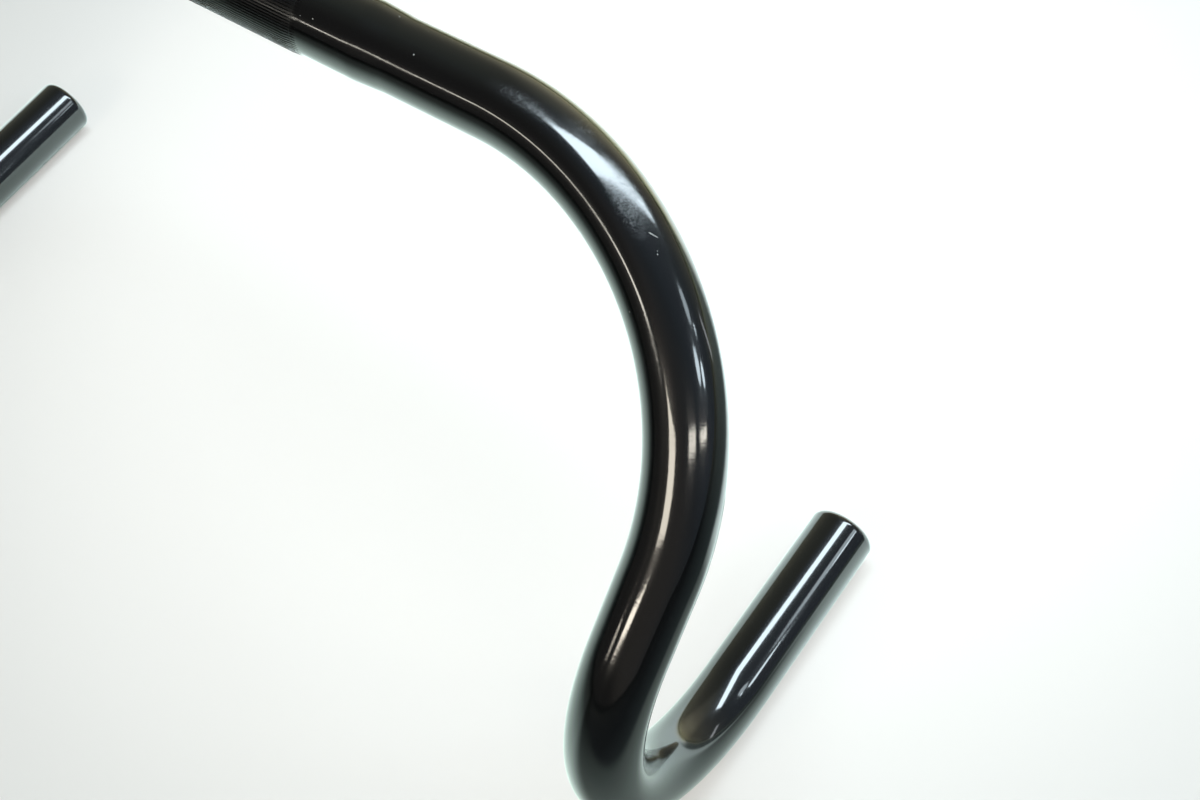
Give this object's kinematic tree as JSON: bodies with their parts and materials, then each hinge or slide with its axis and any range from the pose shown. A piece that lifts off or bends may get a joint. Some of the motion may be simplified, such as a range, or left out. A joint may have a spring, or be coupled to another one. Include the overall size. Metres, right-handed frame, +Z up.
{
  "type": "track drop handlebar",
  "caption": "One-piece bent tube bicycle handlebar with a knurled centre clamp zone, forward bends, deep hooks and short straight grips.",
  "frame": {"origin": "centre of the knurled clamp zone, on the tube's axis", "axes": "+X along the tops towards the rider's left hand, -Y is forward and +Z is up; the grips lie level along Y"},
  "size_m": [0.4238, 0.1449, 0.2196],
  "materials": {
    "gloss_black_paint": "gloss"
  },
  "bodies": {
    "root": {"handlebar": "gloss_black_paint"}
  },
  "joints": []
}
